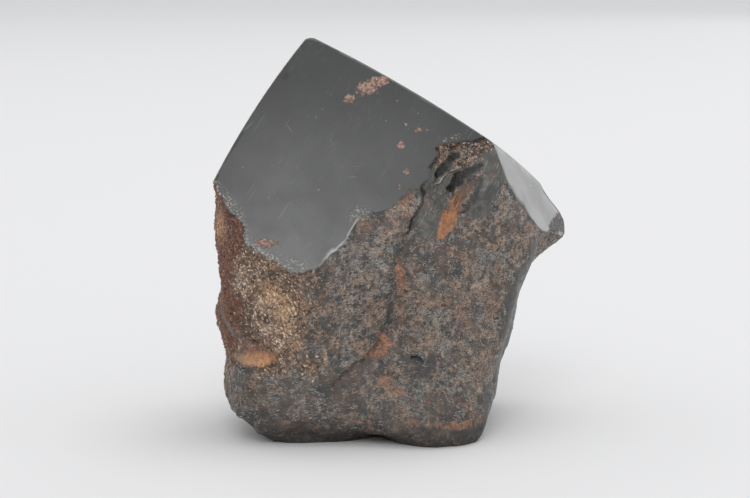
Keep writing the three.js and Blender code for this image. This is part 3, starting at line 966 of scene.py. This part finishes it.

# Pale raised edges of the cleft, black slots, the bluish pit, and painted shade: the foot and two patches
# darkened.
pit_blue = (0.040, 0.045, 0.056, 1)
painted_shade_brown = (0.020, 0.015, 0.013, 1)
ridge = ragged(tree, "ridge", edge_noise, 0.5)
colour = coat(tree, rise(tree, ridge, 0.22, 0.42, 0.0, 0.65), colour, crystal_pale)
# The slots darker with depth: partly the stone's own black, partly painted shade in the grooves.
slot_black_and_shade = ragged(tree, "slot", edge_noise, 0.9)
black_mottled = mottled(tree, place, black, felt_dark, 0.5, 4, 0.5, 0.68)
colour = coat(tree, rise(tree, slot_black_and_shade, 0.2, 0.8, 0.0, 0.92), colour, black_mottled)
colour = coat(tree, marked(tree, "blue", 0.8), colour, pit_blue)
# Painted shade: the foot and two patches turned brown-black, broken up by noise.
painted_shade_breakup = rise(tree, cloud(tree, place, 1.3, 4), 0.36, 0.62, 1.0, 0.45)
colour = coat(tree, times(tree, marked(tree, "dark"), painted_shade_breakup), colour, painted_shade_brown)

# Relief of fibres and gaps, flattened on the smooth planes, which are glossier too.
height = plus(tree, times(tree, fibres, 0.7), cloud(tree, place, 0.3, 3))
height = minus(tree, height, times(tree, times(tree, gap, marked(tree, "golden")), 1.2))
height = thinned(tree, height, plane_amount, 0.85)
roughness = rise(tree, cloud(tree, place, 1.0, 2), 0.35, 0.65, 0.5, 0.75)
gloss = minus(tree, 0.22, marked(tree, "scar", 0.2))
roughness = minus(tree, roughness, times(tree, plane_amount, gloss))
roughness = plus(tree, roughness, times(tree, flank, 0.03))
join(tree, shader, colour, roughness, height, 0.16)

# Polished faces: thin scratches in four directions, level ones on a second flat, which is also coloured
# blacker as painted shade, and haze.
polish_black = (0.012, 0.0125, 0.012, 1)
polish_grey = (0.026, 0.027, 0.026, 1)
scratch_grey = (0.20, 0.205, 0.20, 1)
speck_pale = (0.30, 0.295, 0.28, 1)
scratches = [  # which way they run, the way across them, length, width, and the share of places with one
    ((0.62, 0.2, 0.75), (-0.75, 0.2, 0.62), 9.0, 0.5, 0.22),
    ((0.45, 0.2, 0.87), (-0.87, 0.2, 0.45), 14.0, 0.8, 0.18),
    ((-0.5, 0.3, 0.8), (0.8, 0.3, 0.5), 7.0, 0.6, 0.12),
    ((1, 0, 0.08), (0, 0.5, 0.85), 10.0, 0.7, 0.12),
]
tree, shader, place = start(finishes[polished])
shader.inputs["IOR"].default_value = 1.63
scratch = strokes(tree, place, *scratches[0])
for kind in scratches[1:]:
    scratch = larger(tree, scratch, strokes(tree, place, *kind))
level_scratch = strokes(tree, place, (1, 0, 0.06), (0, 0.5, 0.85), 13.0, 0.7, 0.9)
level_scratch = times(tree, level_scratch, marked(tree, "second_flat"))
scratch = larger(tree, scratch, level_scratch)
haze_lines = cloud(tree, drawn_out(tree, place, (0.5, 0.2, 0.85), (-0.85, 0.2, 0.5), 2.4, 0.14), one_unit, 2)
haze_places = rise(tree, cloud(tree, place, 7, 2), 0.45, 0.6)
haze_lines = times(tree, rise(tree, haze_lines, 0.58, 0.75), haze_places)
clouded_and_shaded = times(tree, rise(tree, cloud(tree, place, 4.5, 2), 0.42, 0.62), 0.35)
# The second flat coloured blacker: painted shade.
clouded_and_shaded = larger(tree, clouded_and_shaded, marked(tree, "second_flat", 0.8))
colour = coat(tree, clouded_and_shaded, polish_grey, polish_black)
colour = coat(tree, marked(tree, "hazy", 0.09), colour, scratch_grey)
colour = coat(tree, times(tree, haze_lines, 0.35), colour, scratch_grey)
colour = coat(tree, times(tree, scratch, 0.6), colour, scratch_grey)
colour = coat(tree, times(tree, level_scratch, 0.8), colour, speck_pale)
specks = strokes(tree, place, (1, 0, 0.3), (-0.3, 0.3, 1), 1.6, 1.1, 0.1)
colour = coat(tree, specks, colour, speck_pale)

# Their rims: frosted places, a chipped stretch, worn edges made paler partly by wear and partly as a painted
# highlight, and a dark border round the right face.
frost_pale = (0.40, 0.38, 0.35, 1)
chip_white = (0.62, 0.61, 0.58, 1)
frost = times(tree, marked(tree, "frost"), rise(tree, cloud(tree, place, 0.4, 3), 0.52, 0.62))
colour = coat(tree, times(tree, frost, 0.9), colour, frost_pale)
chipped = rise(tree, marked(tree, "cover"), 0.08, 0.42, 0.85, 0.0)
chipped = times(tree, chipped, marked(tree, "chipped"))
colour = coat(tree, chipped, colour, chip_white)
# Pale line along the edges between faces: wear, and a painted highlight where the edges catch light.
worn_and_highlit = rise(tree, marked(tree, "edge"), 0.05, 0.28, 0.45, 0.0)
worn_and_highlit = times(tree, worn_and_highlit, rise(tree, cloud(tree, place, 1.1, 5), 0.40, 0.62, 0.25, 1.0))
colour = coat(tree, worn_and_highlit, colour, frost_pale)
border = rise(tree, marked(tree, "cover"), 0.15, 1.0, 0.75, 0.0)
border = times(tree, border, marked(tree, "right_rim"))
border = times(tree, border, rise(tree, marked(tree, "edge"), 0.4, 1.4))
chip = rise(tree, marked(tree, "slot"), 0.1, 0.3)
colour = coat(tree, larger(tree, border, chip), colour, black)

# Their pits, filled with rust and pale grains, and the broken end of the right face.
pit_tan = (0.40, 0.235, 0.175, 1)
stain_noise = minus(tree, cloud(tree, place, 0.8, 4), 0.55)
stain = rise(tree, ragged(tree, "rust", stain_noise, 2.2), 0.35, 0.75, 0.0, 0.85)
pit_tone = mottled(tree, place, rust_dark, pit_tan, 0.6, 3, 0.42, 0.60)
pit_tone = mottled(tree, place, pit_tone, chip_white, 0.35, 3, 0.60, 0.68, 0.8)
colour = coat(tree, stain, colour, pit_tone)
broken = plus(tree, marked(tree, "broken"), minus(tree, cloud(tree, place, 0.9, 4), 0.5))
broken = rise(tree, broken, 0.45, 0.6)
broken_tone = mottled(tree, place, felt_dark, dust_colour, 0.5, 4, 0.50, 0.70)
colour = coat(tree, broken, colour, broken_tone)
haze = rise(tree, cloud(tree, place, 9, 2), 0.35, 0.65, 0.29, 0.35)
haze = plus(tree, haze, times(tree, scratch, 0.12))
matt = larger(tree, larger(tree, stain, frost), larger(tree, broken, border))
roughness = plus(tree, haze, times(tree, matt, 0.35))
height = minus(tree, times(tree, scratch, -0.12), stain)
join(tree, shader, colour, roughness, height, 0.05)

# Sawn base: straight saw marks across it.
saw_dark = (0.035, 0.034, 0.033, 1)
saw_pale = (0.085, 0.08, 0.075, 1)
tree, shader, place = start(finishes[sawn])
saw_marks = cloud(tree, drawn_out(tree, place, (1, 0.15, 0), (-0.15, 1, 0), 60, 0.5), one_unit, 3)
colour = coat(tree, rise(tree, saw_marks, 0.35, 0.65), saw_dark, saw_pale)
roughness = rise(tree, cloud(tree, place, 3, 2), 0.3, 0.7, 0.5, 0.7)
join(tree, shader, colour, roughness, saw_marks, 0.05)

# The marks are worked out at the points of the finished mesh. Most go from 0 to 1. Four are in millimetres:
# the slots and ridges as above, the depth under the rough sides ("cover"), and the depth under the second
# nearest face ("edge"), which is 0 where two faces meet.
points = np.empty(len(cut_mesh.vertices) * 3, np.float32)
cut_mesh.vertices.foreach_get("co", points)
x, y, z = points.reshape(-1, 3).astype(float).T / MM
top_face_above = 1.1 - 0.31 * (x + 17.2)  # y beyond which a place over the shoulders is on the top face
front = (y < 5) & ((z < 50) | (y < top_face_above))
place_mm = np.stack([x, y, z], axis=-1)
depths = [reach - np.linalg.norm(place_mm - middle, axis=-1) for middle, reach, _outward in balls.values()]
within_scar = 1 - ease_in(y, -11, -5) * (x < -20) * (z < 30)  # its stain ends round the left side
frosted = [near_path(path, reach, x, z) for path, reach in frost_paths]
marks = {
    "golden": golden(x, y, z),
    "pale": towards_front(y) * bells(pale_patches, x, z),
    "orange": towards_front(y) * np.minimum(bells(orange_patches, x, z), 1),
    "left": reddish(x, y, z),
    "flank": right_flank(x, y, z),
    "scar": (x < -20) * (1 - 0.8 * ease_in(z, 16.6, 18.4)),
    "hazy": front * bells(hazy_places, x, z),
    "broken": (y > 0) * near_path(*broken_end, x, z),
    "rust": front * np.minimum(bells(rust_spots, x, z), 1.6) * within_scar,
    "streak": np.where(front, streak(x, z), -1),
    "ripe": ripeness(x, z),
    "slot": front * slot_depth(x, z),
    "ridge": front * ridge_rise(x, z),
    "cover": rough_radius(np.arctan2(y - axis_y, x - axis_x), z) - np.hypot(x - axis_x, y - axis_y),
    "edge": np.sort(depths, axis=0)[1],
    "right_rim": ease_in(x, 17, 19) * (y < 20),
    "second_flat": front * near_path(*second_flat, x, z),
    "smooth": smooth(x, y, z),
    "crystals": crystals(x, y, z),
    "cream": front * bells(cream_flakes, x, z),
    # Dust in clumps, thinned towards the foot as painted shade.
    "dusty_and_shaded": dust_and_shade(x, z) * (0.24 + 1.0 * felt_clump(x, y, z)),
    # Painted shade: darker towards the foot and in two patches of the front.
    "dark": np.maximum(0.85 * (1 - ease_in(z, 0.8, foot_shade)), front * bells(painted_shade_patches, x, z)),
    "blue": front * bells(blue_patches, x, z),
    "warmth": front * bells(warm_patches, x, z),
    "frost": front * np.max(frosted, axis=0),
    "chipped": front * near_path(chipped_path, 1.5, x, z) * ease_in(x, -17, -9),
}
for name, values in marks.items():
    cut_mesh.attributes.new(name, "FLOAT", "POINT").data.foreach_set("value", values.astype(np.float32))
cut_mesh.shade_smooth()
cut_mesh.set_sharp_from_angle(angle=math.radians(40))

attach(stone, "root")
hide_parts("stone")

# ---- Grains of the golden crust and crystals of the cleft ----
# Small faceted grains of the stone itself, grown into the left flank and into the bands over the cleft. Each
# is a leaning octahedron, more than half sunk in the rough side under it.
crust_tries, crystal_tries = 24000, 2400
crust_turns, crystal_turns = (95, 255), (-62, -16)  # degrees round the stone
crust_heights, crystal_heights = (11, 52), (52, 59)
crust_share, crystal_share = 0.9, 0.7  # how many of the tries are kept where the crust is whole
clear_of_faces = 0.12
grain_reach = 0.30
grain_heading = np.array([0.5, -0.2, -0.8])
grain_sink = 0.04


def chance(numbers, seed):
    """One fixed random number from 0 to 1 for each thing."""
    return lattice(numbers, 0 * numbers + 7, 0 * numbers + 3, seed)


def between(low, high, numbers, seed):
    """One fixed random number from low to high for each thing."""
    return low + (high - low) * chance(numbers, seed)


def on_rough(angle, height):
    """The point of the rough side at this turn and height."""
    radius = rough_radius(angle, height)
    return np.stack([axis_x + radius * np.cos(angle), axis_y + radius * np.sin(angle), height], axis=-1)


def outward_of_rough(angle, height, span=0.5):
    """The way out of the stone: the cross product of a short step round the rough side and one up it."""
    turn = span / usual_radius
    round_it = on_rough(angle + turn, height) - on_rough(angle - turn, height)
    up_it = on_rough(angle, height + span) - on_rough(angle, height - span)
    outward = np.cross(round_it, up_it)
    return outward / np.linalg.norm(outward, axis=-1, keepdims=True)


def is_bare(points, margin):
    """Whether the place is rough stone: this far inside every polished face and above the base."""
    bare = points[:, 2] > margin
    for middle, ball_radius, _outward in balls.values():
        bare = bare & (np.linalg.norm(points - middle, axis=-1) < ball_radius - margin)
    return bare


def scattered_mesh(name, points, faces, marks, finish):
    """Many copies of one small closed shape: points is (copies, corners, 3) and faces lists one copy's."""
    copies, corners = points.shape[:2]
    mesh = bpy.data.meshes.new(name)
    all_faces = []
    for face in faces:
        all_faces += (np.array(face) + np.arange(copies)[:, None] * corners).tolist()
    mesh.from_pydata(points.reshape(-1, 3) * MM, [], all_faces)
    for mark, values in marks.items():
        values = np.repeat(values, corners).astype(np.float32)
        mesh.attributes.new(mark, "FLOAT", "POINT").data.foreach_set("value", values)
    mesh.materials.append(finish)
    thing = bpy.data.objects.new(name, mesh)
    bpy.context.scene.collection.objects.link(thing)
    return thing


# Where the grains sit: tries spread at random, kept on the crust and the crystal bands, clear of slots.
number = np.arange(crust_tries + crystal_tries)
over_cleft = number >= crust_tries
turn = np.where(over_cleft, between(*crystal_turns, number, 61), between(*crust_turns, number, 61))
angle = np.radians(turn)
height = np.where(over_cleft, between(*crystal_heights, number, 62), between(*crust_heights, number, 62))
spot = on_rough(angle, height)
in_crust = golden(*spot.T) * (1 - smooth(*spot.T)) * (streak(spot[:, 0], spot[:, 2]) < 0)
wanted = np.maximum(crust_share * in_crust, crystal_share * crystals(*spot.T))
kept = (chance(number, 63) < wanted) & is_bare(spot, clear_of_faces)
kept = kept & (slot_depth(spot[:, 0], spot[:, 2]) < 0.3)
number, angle, height, spot = number[kept], angle[kept], height[kept], spot[kept]

# Each grain has three axes at right angles: one leaning out, one roughly downwards, and one across both.
out = outward_of_rough(angle, height)
lean = np.stack([chance(number, seed) - 0.5 for seed in (64, 65, 66)], axis=-1)
first = out + 0.8 * lean
first = first / np.linalg.norm(first, axis=-1, keepdims=True)
second = np.cross(first, np.cross(grain_heading + 1.6 * lean, first))
second = second / np.linalg.norm(second, axis=-1, keepdims=True)
third = np.cross(first, second)
reach = grain_reach * (0.5 + 0.7 * chance(number, 67) ** 2)[:, None]
first = first * reach * 0.75
second = second * reach * (1.1 + 0.8 * chance(number, 68))[:, None]
third = third * reach * (0.6 + 0.4 * chance(number, 69))[:, None]
middle = spot - grain_sink * out
ends = [middle + first, middle - first, middle + second, middle - second, middle + third, middle - third]
grain_points = np.stack(ends, axis=1)
grain_faces = [(0, 2, 4), (2, 1, 4), (1, 3, 4), (3, 0, 4), (2, 0, 5), (1, 2, 5), (3, 1, 5), (0, 3, 5)]
x, y, z = spot.T
grain_marks = {
    "tone": chance(number, 70),
    "pale": towards_front(y) * np.minimum(bells(pale_patches, x, z), 1.3),
    "orange": towards_front(y) * np.minimum(bells(orange_patches, x, z), 1),
    "left": reddish(x, y, z),
    "crystal": crystals(x, y, z),
}

# Their tones: brown to tan and cream, red on the left, orange in places; the crystals darker, a few white.
grain_brown = (0.16, 0.10, 0.073, 1)
grain_tan = (0.40, 0.275, 0.20, 1)
grain_cream = (0.75, 0.59, 0.44, 1)
grain_white = (0.80, 0.74, 0.68, 1)
grain_finish = bpy.data.materials.new("golden_grains")
tree, shader, place = start(grain_finish)
shader.inputs["IOR"].default_value = 1.6
tone = marked(tree, "tone")
grain_tone = plus(tree, tone, marked(tree, "pale", 0.4))
grain_tone = minus(tree, grain_tone, marked(tree, "left", 0.08))
colour = coat(tree, rise(tree, grain_tone, 0.3, 0.6), grain_brown, grain_tan)
colour = coat(tree, marked(tree, "left", 0.9), colour, grain_red)
colour = coat(tree, marked(tree, "orange", 0.75), colour, grain_orange)
cream = thinned(tree, rise(tree, grain_tone, 0.68, 1.0), marked(tree, "left"), 0.5)
colour = coat(tree, cream, colour, grain_cream)
crystal_tone = coat(tree, rise(tree, tone, 0.1, 0.8), gap_dark, grain_tan)
crystal_tone = coat(tree, rise(tree, tone, 0.93, 0.96, 0.0, 0.8), crystal_tone, grain_white)
colour = coat(tree, marked(tree, "crystal"), colour, crystal_tone)
colour = mottled(tree, place, colour, gold_dark, 0.25, 3, 0.40, 0.65, 0.4)
roughness = rise(tree, tone, 0.8, 0.95, 0.6, 0.3)
join(tree, shader, colour, roughness, cloud(tree, place, 0.15, 2), 0.02)
grain_mesh = scattered_mesh("crust_grains", grain_points, grain_faces, grain_marks, grain_finish)
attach(grain_mesh, "root")

# ---- Fibres on the rough sides ----
# Short matted fibres of the stone, pale grey and tan, that lie on the rough sides and run in patches of one
# direction. Each is a slightly bent, three-sided splinter, pointed at both ends and pressed into the surface.
fibre_tries, fibre_most = 120000, 32000
fibre_heights = (1.2, 58.2)
fibre_clear_of_faces = 0.25
widest_x, foremost_y = 35.2, -25.0  # no fibre beyond these, so that none makes the stone larger
fibre_bare_pit = [(3.0, 16.8, 3.6, 1.2, 0.8)]
grey_places = [(-8, 38, 9, 5, 0.8), (-14, 8, 12, 5, 0.7)]
fibre_sink, fibre_rise = 0.03, 0.09

# Where they lie: thick on dusty felt, thin on smooth planes, crust, crystals, flank and foot, none in slots.
number = np.arange(fibre_tries)
angle = 2 * math.pi * chance(number, 81)
height = between(*fibre_heights, number, 82)
spot = on_rough(angle, height)
x, y, z = spot.T
wanted = (0.14 + 0.86 * felt_clump(x, y, z)) * (0.25 + 0.75 * dust_and_shade(x, z))
wanted = wanted * (1 - 0.97 * smooth(x, y, z)) * (1 - 0.85 * golden(x, y, z))
wanted = wanted * (1 - 0.8 * crystals(x, y, z)) * (1 - right_flank(x, y, z))
wanted = wanted * (1 - (y < 5) * bells(fibre_bare_pit, x, z)) * (0.2 + 0.8 * ease_in(z, 2, 8))
wanted = wanted * ((y > 5) | ((slot_depth(x, z) < 0.15) & (streak(x, z) < -0.1)))
inside = (x < widest_x) & (y > foremost_y) & is_bare(spot, fibre_clear_of_faces)
kept = np.flatnonzero((chance(number, 85) < wanted) & inside)[:fibre_most]
number, angle, height, spot = number[kept], angle[kept], height[kept], spot[kept]

# Each follows the rough side through three points, bowed sideways. The heading drifts from place to place.
x, y, z = spot.T
heading = 0.3 + 1.7 * noise(x, y, z, 6, 86) + 1.3 * (chance(number, 87) - 0.5)
bend = 0.9 * (chance(number, 88) - 0.5)
length = 0.45 + 0.75 * chance(number, 89) ** 2
half_width = 0.06 + 0.055 * chance(number, 90)
along = np.array([-0.5, 0, 0.5])[None, :] * length[:, None]
aside = np.array([0, 0.4, 0])[None, :] * (bend * length)[:, None]
cosine, sine = np.cos(heading)[:, None], np.sin(heading)[:, None]
from_axis = np.hypot(x - axis_x, y - axis_y)[:, None]
round_it = (along * cosine - aside * sine) / from_axis
line = on_rough(angle[:, None] + round_it, height[:, None] + along * sine + aside * cosine)
out = outward_of_rough(angle, height)
run = line[:, 2] - line[:, 0]
across = np.cross(out, run / np.linalg.norm(run, axis=-1, keepdims=True)) * half_width[:, None]
low = line - fibre_sink * out[:, None]
top = line[:, 1] + fibre_rise * out
fibre_points = np.stack([low[:, 0], low[:, 1] + across, low[:, 1] - across, top, low[:, 2]], axis=1)
fibre_faces = [(0, 3, 1), (0, 2, 3), (0, 1, 2), (4, 1, 3), (4, 3, 2), (4, 2, 1)]
greyness = (y < 5) * np.minimum(bells(grey_places, x, z), 1)
tanness = ease_in(noise(x, y, z, 2.8, 91) + 0.4 * (chance(number, 92) - 0.5), -0.35, 0.25)
fibre_marks = {
    "tan": tanness * (1 - greyness),
    # Each fibre's own brightness, darker at the foot as painted shade.
    "bright": chance(number, 93) * (0.35 + 0.65 * ease_in(z, 2, 7)),
    "rust": (y < 5) * np.minimum(bells(rust_spots, x, z), 1),
}
fibre_orange = (0.62, 0.36, 0.24, 1)
fibre_finish = bpy.data.materials.new("felt_fibres")
tree, shader, place = start(fibre_finish)
shader.inputs["IOR"].default_value = 1.55
colour = coat(tree, marked(tree, "tan"), fibre_grey, fibre_tan)
colour = coat(tree, marked(tree, "rust", 0.75), colour, fibre_orange)
colour = coat(tree, rise(tree, marked(tree, "bright"), 0.0, 0.9, 0.75, 0.0), colour, felt_brown)
roughness = rise(tree, marked(tree, "bright"), 0.0, 1.0, 0.7, 0.5)
join(tree, shader, colour, roughness, cloud(tree, place, 0.12, 2), 0.01)
fibre_mesh = scattered_mesh("felt_fibres", fibre_points, fibre_faces, fibre_marks, fibre_finish)
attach(fibre_mesh, "root")

# ---- Floor and light ----
# A plain pale floor that runs out to the horizon, a soft even sky, large soft lights above and in front,
# and a soft panel behind on the right.
floor_reach = 60
floor_mesh = bpy.data.meshes.new("floor")
floor_corners = [(-1, -1, 0), (1, -1, 0), (1, 1, 0), (-1, 1, 0)]
floor_mesh.from_pydata([Vector(corner) * floor_reach for corner in floor_corners], [], [(0, 1, 2, 3)])
floor_finish = bpy.data.materials.new("floor_paper")
tree, shader, place = start(floor_finish)
shader.inputs["Base Color"].default_value = (0.80, 0.80, 0.805, 1)
shader.inputs["Roughness"].default_value = 0.8
shader.inputs["Specular IOR Level"].default_value = 0.2
floor_mesh.materials.append(floor_finish)
floor = bpy.data.objects.new("floor", floor_mesh)
bpy.context.scene.collection.objects.link(floor)

world = bpy.data.worlds.new("studio")
world.use_nodes = True
world.node_tree.nodes["Background"].inputs["Color"].default_value = (0.985, 0.99, 1, 1)
world.node_tree.nodes["Background"].inputs["Strength"].default_value = 0.76
bpy.context.scene.world = world


def soft_light(name, direction, distance, width, brightness):
    """A square light that faces the stone; its power is brightness times pi times its area."""
    data = bpy.data.lights.new(name, "AREA")
    data.shape = "SQUARE"
    data.size = width
    data.energy = brightness * math.pi * width**2
    light = bpy.data.objects.new(name, data)
    outward = Vector(direction).normalized()
    light.location = view_target + outward * distance
    light.rotation_euler = outward.to_track_quat("Z", "Y").to_euler()
    light.visible_camera = False
    bpy.context.scene.collection.objects.link(light)


soft_light("front", (-0.08, -0.76, 0.65), 8.0, 3.5, 3.4)
soft_light("overhead", (0.25, 0.20, 0.95), 2.4, 1.6, 1.4)
soft_light("panel_right", (0.53, 0.83, 0.17), 2.8, 1.19, 1.25)
bpy.context.scene.view_settings.view_transform = "Standard"
